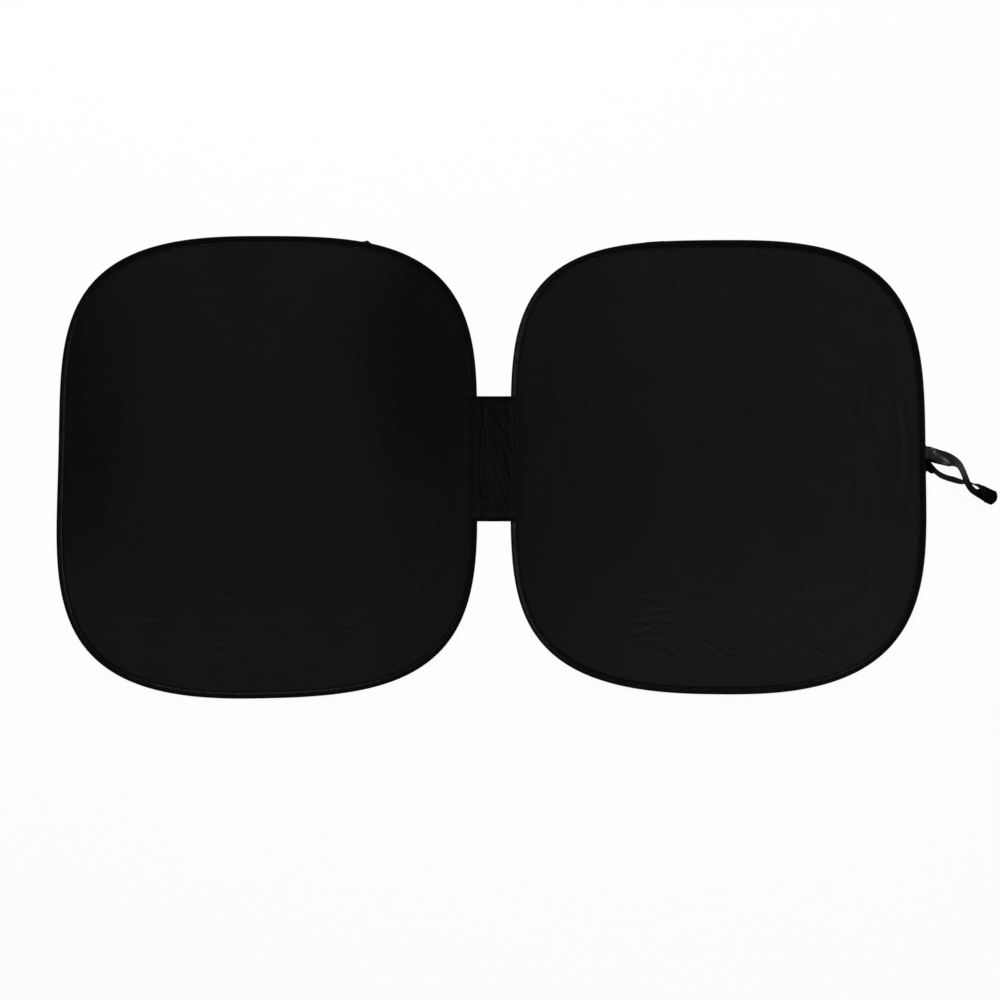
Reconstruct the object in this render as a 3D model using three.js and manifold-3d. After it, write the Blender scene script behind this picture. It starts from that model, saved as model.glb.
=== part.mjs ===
// Pop-up windscreen sunshade. Two rounded square panels of black cloth are each stretched
// in a hoop of flat spring steel, which runs in a folded edge binding. A cloth bridge joins
// the hoops, and an elastic loop on the right hoop holds the shade when it is folded away.
// The shade lies on its back: X runs along both panels, Y up them, Z up from the floor, and
// the origin is under the middle of the bridge. Lengths are in millimetres.
import * as THREE from 'three';
import * as BufferGeometryUtils from 'three/addons/utils/BufferGeometryUtils.js';
import Module from 'manifold-3d';

// Hoops, measured along the line of the spring steel
const leftHoopWidth = 721;
const leftHoopHeight = 790.4;
const rightHoopWidth = 712.4;
const rightHoopHeight = 777.8;
const hoopGap = 58; // between the two bindings, where the bridge crosses
const hoopMiddleY = -13.5; // the bridge sits a little above the middle of the hoops
const hoopStations = 84;
const hoopSamples = 1440; // of the outline, before its stations are spaced out

// How flat each side of a hoop runs before it turns the corner; 2 would be an ellipse
const leftHoopFlatness = { top: 3.03, bottom: 2.99, left: 4.09, right: 3.91 };
const rightHoopFlatness = { top: 3.19, bottom: 2.81, left: 4.21, right: 3.67 };

// Each hoop's small unevenness: how many waves run round it, how high they are, and where
// a crest is, in degrees anticlockwise from the right
const leftHoopWaves = [
  { count: 1, height: 1.6, crest: -38 },
  { count: 2, height: 2.8, crest: 106 },
  { count: 3, height: 1.1, crest: -39 },
  { count: 5, height: 0.9, crest: -141 },
  { count: 6, height: 0.7, crest: -162 },
];
const rightHoopWaves = [
  { count: 1, height: 0.9, crest: -82 },
  { count: 2, height: 1.6, crest: -91 },
  { count: 3, height: 0.7, crest: -156 },
  { count: 4, height: 0.3, crest: -35 },
  { count: 5, height: 0.4, crest: -65 },
  { count: 6, height: 0.6, crest: 149 },
];

// Spring steel and the crimped ferrule that joins its two ends
const wireThickness = 1;
const wireDepth = 3;
const wireEndGap = 1;
const wireEdgeRound = 0.3;
const ferruleLength = 25;
const ferruleWall = 0.4;
const ferruleClearance = 0.25;

// Edge binding: a tape folded round the hoop, with a lip on each face of the cloth
const tapeThickness = 0.6;
const tubeClearance = 0.3; // round the ferrule
const bindingWidth = 13; // from the outer edge to the edge of the lips
const tubeOuterRound = 0.8;
const tubeInnerRound = 0.2;

// The end of the left hoop's tape, whose corner sticks out of the edge
const tapeEndOffset = 176; // along the top, from the hoop's middle towards the bridge
const tapeEndWidth = 13;
const tapeEndReach = 4; // of the corner, out of the edge
const tapeEndShoulder = 1.5; // of the rest, out of the edge

// Panel cloth
const clothThickness = 0.6;
const clothGap = 0.3; // between touching layers
const clothEdgeInset = 3; // from the spring steel's line to the cloth's edge

// Bridge cloth, laid over both bindings, slack between them
const bridgeHeight = 216;
const bridgeLapLeft = 12; // over the left binding, from its outer edge
const bridgeLapRight = 20; // over the right binding and the edge of its panel
const bridgeFlatWidth = 24; // the stretch in the middle that lies on the floor
const bridgeCrestMargin = 1.4; // of the level stretch over each binding, past its tube
const bridgeShoulderRun = 4; // over which the cloth falls from there to the binding's lip
const bridgeStepX = 4;
const bridgeStepY = 8;

// Slanting folds in the slack, in a zone above and a zone below the flat middle
const foldZone = 36;
const foldRise = 1.4;
const foldSpacing = 15;
const foldSlant = 0.3;

// Hem tapes on the bridge's upper and lower edges
const hemWidth = 7;
const hemTapeThickness = 0.45;
const hemRiseRun = 8; // over which the cloth rises onto the tape's lower layer

// Elastic loop: one band, with both ends side by side under the right binding
const bandWidth = 25;
const bandThickness = 1;
const bandEndSpacing = 1.8; // between the two ends
const bandEndsY = -0.5; // of the middle between the two ends
const bandSteps = 80;
const bandColumns = 6; // across its width
const tipRounding = 6.5; // how far its edges are drawn back where it doubles back
const tipSpan = 5; // over this many points of the route on each side
const tubeLift = 1.6; // the hoop's rise over the band
const liftMargin = 12; // of full rise, past the band's edge
const liftTaper = 90;

const wasm = await Module();
wasm.setup();

// Half sizes, worked out from the wire outwards
const ferruleHalfAcross = wireThickness / 2 + ferruleClearance + ferruleWall;
const ferruleHalfDepth = wireDepth / 2 + ferruleClearance + ferruleWall;
const cavityHalfAcross = ferruleHalfAcross + tubeClearance;
const cavityHalfDepth = ferruleHalfDepth + tubeClearance;
const tubeHalfAcross = cavityHalfAcross + tapeThickness;
const tubeHalfDepth = cavityHalfDepth + tapeThickness;
const hoopMiddleZ = tubeHalfDepth;
const lipInnerZ = clothThickness / 2 + clothGap;
const lipOuterZ = lipInnerZ + tapeThickness;
const lipEdge = tubeHalfAcross - bindingWidth;

const leftHoop = {
  x: -(hoopGap / 2 + tubeHalfAcross + leftHoopWidth / 2),
  width: leftHoopWidth,
  height: leftHoopHeight,
  flatness: leftHoopFlatness,
  waves: leftHoopWaves,
};
const rightHoop = {
  x: hoopGap / 2 + tubeHalfAcross + rightHoopWidth / 2,
  width: rightHoopWidth,
  height: rightHoopHeight,
  flatness: rightHoopFlatness,
  waves: rightHoopWaves,
};

const binding = { colour: 0x060606, roughness: 0.55 };
const cloth = { colour: 0x0d0d0d, roughness: 0.8 };
const steel = { colour: 0x8c8f92, roughness: 0.35, metalness: 1 };
const elastic = { colour: 0x141312, roughness: 0.4 };

function finish(look) {
  return new THREE.MeshStandardMaterial({
    color: look.colour,
    roughness: look.roughness,
    metalness: look.metalness ?? 0,
  });
}

function smooth(value) {
  const t = THREE.MathUtils.clamp(value, 0, 1);
  return t * t * (3 - 2 * t);
}

function named(name, geometry, look) {
  const mesh = new THREE.Mesh(geometry, finish(look));
  mesh.name = name;
  return mesh;
}

function signedVolume(positions, index) {
  const a = new THREE.Vector3();
  const b = new THREE.Vector3();
  const c = new THREE.Vector3();
  let volume = 0;
  for (let i = 0; i < index.length; i += 3) {
    a.fromArray(positions, 3 * index[i]);
    b.fromArray(positions, 3 * index[i + 1]);
    c.fromArray(positions, 3 * index[i + 2]);
    volume += a.dot(b.cross(c)) / 6;
  }
  return volume;
}

function closedGeometry(positions, index) {
  const outward = signedVolume(positions, index) > 0;
  const geometry = new THREE.BufferGeometry();
  geometry.setAttribute('position', new THREE.Float32BufferAttribute(positions, 3));
  geometry.setIndex(outward ? index : index.slice().reverse());
  geometry.computeVertexNormals();
  return geometry;
}

// Runs a section through frames { at, across, up }. The section is a list of [across, up]
// corners, anticlockwise, and may change from frame to frame but keeps its corner count.
// A corner's third number, where it has one, moves it along the frame's own back direction.
function sweep(frames, sectionAt, closed) {
  const sections = frames.map(sectionAt);
  const corners = sections[0].length;
  const positions = [];
  frames.forEach((frame, i) => {
    for (const [across, up, back] of sections[i]) {
      const corner = frame.at.clone().addScaledVector(frame.across, across).addScaledVector(frame.up, up);
      if (back) {
        corner.addScaledVector(frame.back, back);
      }
      positions.push(corner.x, corner.y, corner.z);
    }
  });
  const index = [];
  const spans = closed ? frames.length : frames.length - 1;
  for (let i = 0; i < spans; i++) {
    const near = i * corners;
    const far = ((i + 1) % frames.length) * corners;
    for (let k = 0; k < corners; k++) {
      const next = (k + 1) % corners;
      index.push(near + k, near + next, far + next, near + k, far + next, far + k);
    }
  }
  if (!closed) {
    const last = (frames.length - 1) * corners;
    const outline = (section) => section.map(([across, up]) => new THREE.Vector2(across, up));
    for (const [a, b, c] of THREE.ShapeUtils.triangulateShape(outline(sections[0]), [])) {
      index.push(c, b, a);
    }
    for (const [a, b, c] of THREE.ShapeUtils.triangulateShape(outline(sections.at(-1)), [])) {
      index.push(last + a, last + b, last + c);
    }
  }
  return closedGeometry(positions, index);
}

function toManifold(geometry) {
  const bare = geometry.clone();
  bare.deleteAttribute('normal');
  bare.deleteAttribute('uv');
  const merged = BufferGeometryUtils.mergeVertices(bare);
  return new wasm.Manifold(new wasm.Mesh({
    numProp: 3,
    vertProperties: new Float32Array(merged.attributes.position.array),
    triVerts: new Uint32Array(merged.index.array),
  }));
}

function fromManifold(solid) {
  const mesh = solid.getMesh();
  return closedGeometry(Array.from(mesh.vertProperties), Array.from(mesh.triVerts));
}

// One point of a hoop's line: a rounded square whose sides differ in flatness, a little uneven
function hoopPoint(hoop, angle) {
  const along = Math.cos(angle);
  const up = Math.sin(angle);
  const levelFlatness = up >= 0 ? hoop.flatness.top : hoop.flatness.bottom;
  const uprightFlatness = along >= 0 ? hoop.flatness.right : hoop.flatness.left;
  const even = new THREE.Vector2(
    Math.sign(along) * (hoop.width / 2) * Math.abs(along) ** (2 / levelFlatness),
    Math.sign(up) * (hoop.height / 2) * Math.abs(up) ** (2 / uprightFlatness),
  );
  let uneven = 0;
  for (const { count, height, crest } of hoop.waves) {
    uneven += height * Math.cos(count * even.angle() - THREE.MathUtils.degToRad(crest));
  }
  even.setLength(even.length() + uneven);
  return even.add(new THREE.Vector2(hoop.x, hoopMiddleY));
}

// Evenly spaced frames round a hoop, anticlockwise from the middle of its lower side
function hoopFrames(hoop) {
  const line = [];
  for (let i = 0; i <= hoopSamples; i++) {
    line.push(hoopPoint(hoop, (2 * Math.PI * i) / hoopSamples - Math.PI / 2));
  }
  const reached = [0];
  for (let i = 1; i <= hoopSamples; i++) {
    reached.push(reached[i - 1] + line[i].distanceTo(line[i - 1]));
  }
  const points = [];
  let sample = 0;
  for (let i = 0; i < hoopStations; i++) {
    const target = (reached[hoopSamples] * i) / hoopStations;
    while (reached[sample + 1] < target) {
      sample += 1;
    }
    const share = (target - reached[sample]) / (reached[sample + 1] - reached[sample]);
    points.push(line[sample].clone().lerp(line[sample + 1], share));
  }
  return points.map((point, i) => {
    const before = points[(i + hoopStations - 1) % hoopStations];
    const after = points[(i + 1) % hoopStations];
    const run = after.clone().sub(before).normalize();
    return {
      at: new THREE.Vector3(point.x, point.y, hoopMiddleZ),
      across: new THREE.Vector3(run.y, -run.x, 0),
      up: new THREE.Vector3(0, 0, 1),
    };
  });
}

// The right hoop rises a little where the elastic band passes under it
function hoopLift(frame) {
  if (frame.at.x < rightHoop.x) {
    return 0;
  }
  const flat = bandWidth + bandEndSpacing / 2 + liftMargin;
  return tubeLift * (1 - smooth((Math.abs(frame.at.y) - flat) / liftTaper));
}

function makeWire(frames) {
  const run = new THREE.Vector3(-frames[0].across.y, frames[0].across.x, 0);
  const shifted = (frame, distance) => ({ ...frame, at: frame.at.clone().addScaledVector(run, distance) });
  const open = [
    shifted(frames[0], wireEndGap / 2),
    ...frames.slice(1),
    shifted(frames[0], -wireEndGap / 2),
  ];
  const a = wireThickness / 2;
  const b = wireDepth / 2;
  const section = [
    [a, -b + wireEdgeRound],
    [a, b - wireEdgeRound],
    [0, b],
    [-a, b - wireEdgeRound],
    [-a, -b + wireEdgeRound],
    [0, -b],
  ];
  const lifted = (frame) => section.map(([across, up]) => [across, up + hoopLift(frame)]);
  return sweep(open, lifted, false);
}

function makeFerrule(frame) {
  const tube = new THREE.Shape();
  const a = ferruleHalfAcross;
  const b = ferruleHalfDepth;
  tube.moveTo(-a, -b);
  tube.lineTo(a, -b);
  tube.lineTo(a, b);
  tube.lineTo(-a, b);
  const bore = new THREE.Path();
  const c = a - ferruleWall;
  const d = b - ferruleWall;
  bore.moveTo(-c, -d);
  bore.lineTo(-c, d);
  bore.lineTo(c, d);
  bore.lineTo(c, -d);
  tube.holes.push(bore);
  const geometry = new THREE.ExtrudeGeometry(tube, { depth: ferruleLength, bevelEnabled: false });
  const along = frame.across.clone().cross(frame.up);
  geometry.translate(0, 0, -ferruleLength / 2);
  geometry.applyMatrix4(new THREE.Matrix4().makeBasis(frame.across, frame.up, along));
  geometry.translate(frame.at.x, frame.at.y, frame.at.z);
  return geometry;
}

// The tape's section: a tube round the wire, open on the inside between two flat lips
function bindingSection(lift) {
  const slopeShift = tapeThickness * (Math.SQRT2 - 1);
  const slopeInner = -cavityHalfAcross - (cavityHalfDepth - lipInnerZ);
  const upper = [
    [tubeHalfAcross, tubeHalfDepth - tubeOuterRound],
    [tubeHalfAcross - tubeOuterRound, tubeHalfDepth],
    [-cavityHalfAcross - slopeShift, tubeHalfDepth],
    [slopeInner - slopeShift, lipOuterZ],
    [lipEdge, lipOuterZ],
    [lipEdge, lipInnerZ],
    [slopeInner, lipInnerZ],
    [-cavityHalfAcross, cavityHalfDepth],
    [cavityHalfAcross - tubeInnerRound, cavityHalfDepth],
    [cavityHalfAcross, cavityHalfDepth - tubeInnerRound],
  ];
  const lower = upper.map(([across, up]) => [across, -up]).reverse();
  const tubeStart = slopeInner / 2 - cavityHalfAcross / 2;
  return [...upper, ...lower].map(([across, up]) => [across, across > tubeStart ? up + lift : up]);
}

function makeBinding(frames) {
  return sweep(frames, (frame) => bindingSection(hoopLift(frame)), true);
}

// The loose end of the left tape, standing out of the tube's outer wall
function makeTapeEnd(frames) {
  const target = leftHoop.x + tapeEndOffset;
  const spans = frames.map((frame, i) => [frame.at, frames[(i + 1) % frames.length].at]);
  const topSpans = spans.filter(([start]) => start.y > hoopMiddleY);
  const middle = ([start, end]) => start.clone().lerp(end, 0.5);
  const miss = (span) => Math.abs(middle(span).x - target);
  const [start, end] = topSpans.reduce((best, span) => (miss(span) < miss(best) ? span : best));
  const along = start.clone().sub(end).normalize();
  const across = new THREE.Vector3(-along.y, along.x, 0);
  const root = tubeHalfAcross - tapeThickness / 2;
  const half = tapeEndWidth / 2;
  const flap = new THREE.Shape();
  flap.moveTo(-half, root);
  flap.lineTo(-half / 2, tubeHalfAcross + tapeEndShoulder);
  flap.lineTo(half / 3, tubeHalfAcross + tapeEndReach);
  flap.lineTo(half, root);
  const depth = 2 * tapeThickness;
  const geometry = new THREE.ExtrudeGeometry(flap, { depth, bevelEnabled: false });
  const centre = middle([start, end]);
  geometry.translate(0, 0, -depth / 2);
  geometry.applyMatrix4(new THREE.Matrix4().makeBasis(along, across, new THREE.Vector3(0, 0, 1)));
  return geometry.translate(centre.x, centre.y, centre.z);
}

function makePanelCloth(frames) {
  const edge = frames.map(({ at, across }) => {
    const point = at.clone().addScaledVector(across, -clothEdgeInset);
    return new THREE.Vector2(point.x, point.y);
  });
  const geometry = new THREE.ExtrudeGeometry(new THREE.Shape(edge), {
    depth: clothThickness,
    bevelEnabled: false,
  });
  return geometry.translate(0, 0, hoopMiddleZ - clothThickness / 2);
}

// Height of the bridge's underside: flat on the floor, up over a binding, down to its lips
const bridgeCrestZ = 2 * tubeHalfDepth + clothGap;
const bridgeEndZ = hoopMiddleZ + lipOuterZ + clothGap;
const bridgeCrestX = hoopGap / 2;
const bridgeCrestEndX = bridgeCrestX + 2 * tubeHalfAcross + bridgeCrestMargin;
const bridgeShoulderX = bridgeCrestEndX + bridgeShoulderRun;

// Heights along Y: the cloth's edge, its rise onto the hem tapes, and the fold zones
const clothEdgeY = bridgeHeight / 2 - hemTapeThickness - clothGap;
const risenY = bridgeHeight / 2 - hemWidth - clothGap;
const foldEndY = risenY - hemRiseRun;
const foldStartY = foldEndY - foldZone;

function bridgeUnderside(x) {
  const out = Math.abs(x);
  const flat = bridgeFlatWidth / 2;
  if (out < bridgeCrestEndX) {
    return bridgeCrestZ * smooth((out - flat) / (bridgeCrestX - flat));
  }
  const fall = (out - bridgeCrestEndX) / bridgeShoulderRun;
  return THREE.MathUtils.lerp(bridgeCrestZ, bridgeEndZ, Math.min(fall, 1));
}

function bridgeStationsX() {
  const rise = [bridgeCrestX, bridgeCrestEndX, bridgeShoulderX];
  const steps = Math.ceil(bridgeCrestX / bridgeStepX);
  const middle = [];
  for (let i = 1 - steps; i < steps; i++) {
    middle.push((i * bridgeCrestX) / steps);
  }
  const flat = bridgeFlatWidth / 2;
  const inner = middle.filter((x) => Math.abs(Math.abs(x) - flat) > bridgeStepX / 2);
  const ends = [-bridgeCrestX - bridgeLapLeft, bridgeCrestX + bridgeLapRight];
  const stations = [...ends, ...rise, ...rise.map((x) => -x), ...inner, -flat, flat];
  return stations.sort((a, b) => a - b);
}

function bridgeFold(x, y) {
  const into = (Math.abs(y) - foldStartY) / foldZone;
  if (into <= 0 || into >= 1) {
    return 0;
  }
  const wave = Math.sin((Math.PI * (x + foldSlant * y)) / foldSpacing) ** 2;
  return foldRise * Math.sin(Math.PI * into) * wave;
}

function hemRise(y) {
  const share = THREE.MathUtils.clamp((Math.abs(y) - foldEndY) / hemRiseRun, 0, 1);
  return share * (hemTapeThickness + clothGap);
}

function makeBridgeCloth() {
  const stationsX = bridgeStationsX();
  const upper = [risenY, clothEdgeY];
  const steps = Math.ceil(foldZone / bridgeStepY);
  for (let i = 0; i <= steps; i++) {
    upper.push(foldStartY + (foldZone * i) / steps);
  }
  const stationsY = [...upper.map((y) => -y), 0, ...upper].sort((a, b) => a - b);
  const frames = stationsY.map((y) => ({
    at: new THREE.Vector3(0, y, 0),
    across: new THREE.Vector3(1, 0, 0),
    up: new THREE.Vector3(0, 0, 1),
  }));
  const sectionAt = ({ at }) => {
    const under = stationsX.map((x) => [x, bridgeUnderside(x) + bridgeFold(x, at.y) + hemRise(at.y)]);
    const over = under.map(([x, z]) => [x, z + clothThickness]).reverse();
    return [...under, ...over];
  };
  return sweep(frames, sectionAt, false);
}

function makeHem(side) {
  const frames = bridgeStationsX().map((x) => ({
    at: new THREE.Vector3(x, (side * bridgeHeight) / 2, bridgeUnderside(x)),
    across: new THREE.Vector3(0, -side, 0),
    up: new THREE.Vector3(0, 0, 1),
  }));
  const clothLow = hemTapeThickness + clothGap;
  const inside = clothLow + clothThickness + clothGap;
  const section = [
    [0, 0],
    [hemWidth, 0],
    [hemWidth, hemTapeThickness],
    [hemTapeThickness, hemTapeThickness],
    [hemTapeThickness, inside],
    [hemWidth, inside],
    [hemWidth, inside + hemTapeThickness],
    [0, inside + hemTapeThickness],
  ];
  return sweep(frames, () => section, false);
}

// The band's route: x from the right binding's outer edge, y, z, and the way that its width
// points. It leaves the binding flat on the floor, turns on edge, doubles back at the tip
// and crosses over itself on the way home.
const upperEndY = bandEndsY + (bandWidth + bandEndSpacing) / 2;
const lowerEndY = bandEndsY - (bandWidth + bandEndSpacing) / 2;
const tuckedZ = hoopMiddleZ - lipOuterZ - clothGap - bandThickness / 2;
const rightEdgeX = hoopPoint(rightHoop, 0).x + tubeHalfAcross;
const bandRoute = [
  { at: [lipEdge, upperEndY, tuckedZ], width: [0, 1, 0] },
  { at: [-6.5, upperEndY, tuckedZ], width: [0, 1, 0] },
  { at: [-3, upperEndY, 0.68], width: [0, 1, 0] },
  { at: [0.6, 13, 0.7], width: [0, 1, 0] },
  { at: [5, 12, 0.8], width: [0.05, 1, 0] },
  { at: [11, 7.7, 1.2], width: [0.22, 0.97, -0.03] },
  { at: [18, 4.6, 2.8], width: [0.24, 0.96, -0.15] },
  { at: [30, 1.6, 5.3], width: [0.25, 0.9, -0.35] },
  { at: [42, -2.2, 8.4], width: [0.26, 0.75, -0.6] },
  { at: [50.6, -5.8, 10.3], width: [0.33, 0.57, -0.75] },
  { at: [58.5, -12.4, 11.8], width: [0.37, 0.3, -0.88] },
  { at: [64.4, -23.5, 12.1], width: [0.39, 0.18, -0.9] },
  { at: [69, -35.5, 12.1], width: [0.41, 0.16, -0.9] },
  { at: [72.8, -44.1, 12.1], width: [0.39, 0.21, -0.9] },
  { at: [78.6, -52.4, 12], width: [0.34, 0.31, -0.89] },
  { at: [86.4, -58.3, 11.8], width: [0.25, 0.4, -0.88] },
  { at: [95.4, -61.2, 9.4], width: [0.22, 0.68, -0.68] },
  { at: [103.5, -62.8, 5.6], width: [0.3, 0.88, -0.34] },
  { at: [111, -65.6, 2.6], width: [0.35, 0.93, -0.1] },
  { at: [118.3, -68.6, 1.4], width: [0.37, 0.93, 0] },
  { at: [122, -70, 3.3], width: [0.37, 0.93, 0.02] },
  { at: [118.3, -68.3, 5.4], width: [0.37, 0.93, 0] },
  { at: [111.5, -65.3, 8.4], width: [0.38, 0.91, -0.14] },
  { at: [104.8, -61, 13.4], width: [0.38, 0.76, -0.5] },
  { at: [97, -54.3, 20.6], width: [0.25, 0.36, -0.9] },
  { at: [88.4, -47.8, 28.3], width: [0.06, 0.14, -0.99] },
  { at: [77.6, -43.4, 33.8], width: [-0.02, -0.04, -1] },
  { at: [68, -41.2, 37], width: [-0.04, -0.2, -0.98] },
  { at: [59.5, -39.2, 36.2], width: [-0.06, -0.28, -0.96] },
  { at: [50, -36.8, 31.5], width: [-0.09, -0.32, -0.94] },
  { at: [37.6, -33.4, 23.5], width: [-0.11, -0.28, -0.95] },
  { at: [25, -28, 16.6], width: [-0.14, -0.28, -0.95] },
  { at: [16.6, -21.9, 13.2], width: [-0.16, -0.27, -0.95] },
  { at: [12, -18.2, 12.4], width: [-0.14, -0.42, -0.9] },
  { at: [8, -15.4, 8.9], width: [-0.05, -0.82, -0.56] },
  { at: [4, -14.3, 4.3], width: [0, -0.97, -0.22] },
  { at: [0.8, -14, 1.2], width: [0, -1, 0] },
  { at: [-3, lowerEndY, 0.9], width: [0, -1, 0] },
  { at: [-6.5, lowerEndY, tuckedZ], width: [0, -1, 0] },
  { at: [lipEdge, lowerEndY, tuckedZ], width: [0, -1, 0] },
];
const tipPoint = 20; // of the route, where the band doubles back
const tipBack = new THREE.Vector3(-0.93, 0.37, 0);

function makeElasticLoop() {
  const route = bandRoute.map(({ at: [x, y, z] }) => new THREE.Vector3(rightEdgeX + x, y, z));
  const widths = bandRoute.map(({ width }) => new THREE.Vector3(...width).normalize());
  const line = new THREE.CatmullRomCurve3(route, false, 'catmullrom', 0.5);
  const turn = new THREE.CatmullRomCurve3(widths, false, 'catmullrom', 0.5);
  const frames = [];
  for (let i = 0; i <= bandSteps; i++) {
    const share = i / bandSteps;
    const run = line.getTangent(share);
    const across = turn.getPoint(share);
    across.addScaledVector(run, -across.dot(run)).normalize();
    const fromTip = Math.abs(share * (bandRoute.length - 1) - tipPoint) / tipSpan;
    const back = tipBack.clone().multiplyScalar(tipRounding * smooth(1 - fromTip));
    frames.push({ at: line.getPoint(share), across, up: run.cross(across).normalize(), back });
  }
  const face = [];
  for (let k = 0; k <= bandColumns; k++) {
    face.push((2 * k) / bandColumns - 1);
  }
  const half = bandWidth / 2;
  const corner = (side) => (column) => [half * column, (side * bandThickness) / 2, column ** 2];
  const section = [...face.map(corner(-1)), ...face.reverse().map(corner(1))];
  return sweep(frames, () => section, false);
}

const leftFrames = hoopFrames(leftHoop);
const rightFrames = hoopFrames(rightHoop);
const leftBinding = toManifold(makeBinding(leftFrames)).add(toManifold(makeTapeEnd(leftFrames)));

const leftPanel = new THREE.Group();
leftPanel.add(
  named('left_panel_cloth', makePanelCloth(leftFrames), cloth),
  named('left_hoop_wire', makeWire(leftFrames), steel),
  named('left_hoop_ferrule', makeFerrule(leftFrames[0]), steel),
  named('left_edge_binding', fromManifold(leftBinding), binding),
);

const rightPanel = new THREE.Group();
rightPanel.add(
  named('right_panel_cloth', makePanelCloth(rightFrames), cloth),
  named('right_hoop_wire', makeWire(rightFrames), steel),
  named('right_hoop_ferrule', makeFerrule(rightFrames[0]), steel),
  named('right_edge_binding', makeBinding(rightFrames), binding),
  named('elastic_loop', makeElasticLoop(), elastic),
);

const bridge = new THREE.Group();
bridge.add(
  named('bridge_cloth', makeBridgeCloth(), cloth),
  named('bridge_top_hem', makeHem(1), binding),
  named('bridge_bottom_hem', makeHem(-1), binding),
);

const sunshade = new THREE.Group();
sunshade.add(leftPanel, bridge, rightPanel);

export default sunshade;
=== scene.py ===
# Folding windscreen sunshade, opened and lying on its back: two black cloth panels in sprung
# steel hoops, a cloth bridge between them and an elastic loop at the right edge.
# Lengths are in millimetres until a mesh is made from them.
import math
import random
import bpy
import numpy as np
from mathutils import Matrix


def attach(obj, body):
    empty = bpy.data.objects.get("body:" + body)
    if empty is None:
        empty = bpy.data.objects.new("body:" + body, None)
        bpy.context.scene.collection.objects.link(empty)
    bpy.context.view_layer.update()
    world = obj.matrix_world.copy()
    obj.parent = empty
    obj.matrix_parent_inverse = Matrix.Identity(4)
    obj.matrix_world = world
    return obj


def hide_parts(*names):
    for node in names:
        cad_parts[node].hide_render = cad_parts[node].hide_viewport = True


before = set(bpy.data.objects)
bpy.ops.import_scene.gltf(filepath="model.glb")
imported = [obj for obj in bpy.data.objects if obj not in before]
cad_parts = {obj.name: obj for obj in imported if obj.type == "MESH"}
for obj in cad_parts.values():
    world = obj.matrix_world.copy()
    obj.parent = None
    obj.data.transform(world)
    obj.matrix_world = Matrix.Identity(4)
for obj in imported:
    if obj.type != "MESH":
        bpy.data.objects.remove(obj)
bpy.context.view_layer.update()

MM = 0.001

# The hoops: the gap between their bindings, a binding's half width over the steel, the middles'
# y, and the steel's height above the floor
HOOP_GAP = 58
TUBE_HALF = 2.05
HOOP_Y = -13.5
HOOP_Z = 3.05

# How many waves of unevenness run round each hoop, how high, and their crest in degrees
LEFT_WAVES = [(1, 1.6, -38), (2, 2.8, 106), (3, 1.1, -39), (5, 0.9, -141), (6, 0.7, -162)]
RIGHT_WAVES = [
    (1, 0.9, -82), (2, 1.6, -91), (3, 0.7, -156), (4, 0.3, -35), (5, 0.4, -65), (6, 0.6, 149),
]

# Points that a hoop's line is worked out from, the evenly spaced ones that are kept, and how
# many of them each way give the line's direction
FIRST_POINTS = 24001
HOOP_POINTS = 4096
RUN_STEPS = 6


class Hoop:
    """One hoop's line, evenly spaced, anticlockwise from the middle of its lower side.

    Top, bottom, left and right say how flat each side runs before its corner; 2 would be an
    ellipse.
    """

    def __init__(self, side, width, height, top, bottom, left, right, waves):
        self.x = side * (HOOP_GAP / 2 + TUBE_HALF + width / 2)
        angle = np.linspace(-math.pi / 2, 1.5 * math.pi, FIRST_POINTS)
        along = np.cos(angle)
        up = np.sin(angle)
        level = np.where(up >= 0, top, bottom)
        upright = np.where(along >= 0, right, left)
        x = np.sign(along) * width / 2 * np.abs(along) ** (2 / level)
        y = np.sign(up) * height / 2 * np.abs(up) ** (2 / upright)
        turn = np.arctan2(y, x)
        uneven = np.zeros_like(turn)
        for count, tall, crest in waves:
            uneven += tall * np.cos(count * turn - math.radians(crest))
        share = 1 + uneven / np.hypot(x, y)
        dense = np.stack([self.x + x * share, HOOP_Y + y * share], 1)
        quarter_turn = (FIRST_POINTS - 1) // 4
        self.right_end = self.x + width / 2 + float(uneven[quarter_turn]) + TUBE_HALF
        dense[-1] = dense[0]
        reached = np.concatenate([[0], np.cumsum(np.hypot(*np.diff(dense, axis=0).T))])
        self.length = reached[-1]
        self.step = self.length / HOOP_POINTS
        spots = np.arange(HOOP_POINTS) * self.step
        self.line = np.stack([np.interp(spots, reached, dense[:, k]) for k in (0, 1)], 1)
        run = np.roll(self.line, -RUN_STEPS, 0) - np.roll(self.line, RUN_STEPS, 0)
        run /= np.linalg.norm(run, axis=1)[:, None]
        self.outward = np.stack([run[:, 1], -run[:, 0]], 1)

    def at(self, reach, out):
        """Points at a distance along the hoop and a distance out from its steel."""
        spot = np.asarray(reach, float) / self.step
        low = np.floor(spot).astype(int) % HOOP_POINTS
        high = (low + 1) % HOOP_POINTS
        share = (spot - np.floor(spot))[..., None]
        line = self.line[low] * (1 - share) + self.line[high] * share
        outward = self.outward[low] * (1 - share) + self.outward[high] * share
        return line + outward * np.asarray(out)[..., None]

    def nearest(self, x, y):
        """How far along the hoop a place near it is."""
        return float(np.argmin(np.hypot(self.line[:, 0] - x, self.line[:, 1] - y)) * self.step)


left_hoop = Hoop(-1, 721, 790.4, 3.03, 2.99, 4.09, 3.91, LEFT_WAVES)
right_hoop = Hoop(1, 712.4, 777.8, 3.19, 2.81, 4.21, 3.67, RIGHT_WAVES)
RIGHT_EDGE = right_hoop.right_end


def eased(value):
    share = np.clip(value, 0, 1)
    return share * share * (3 - 2 * share)


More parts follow.
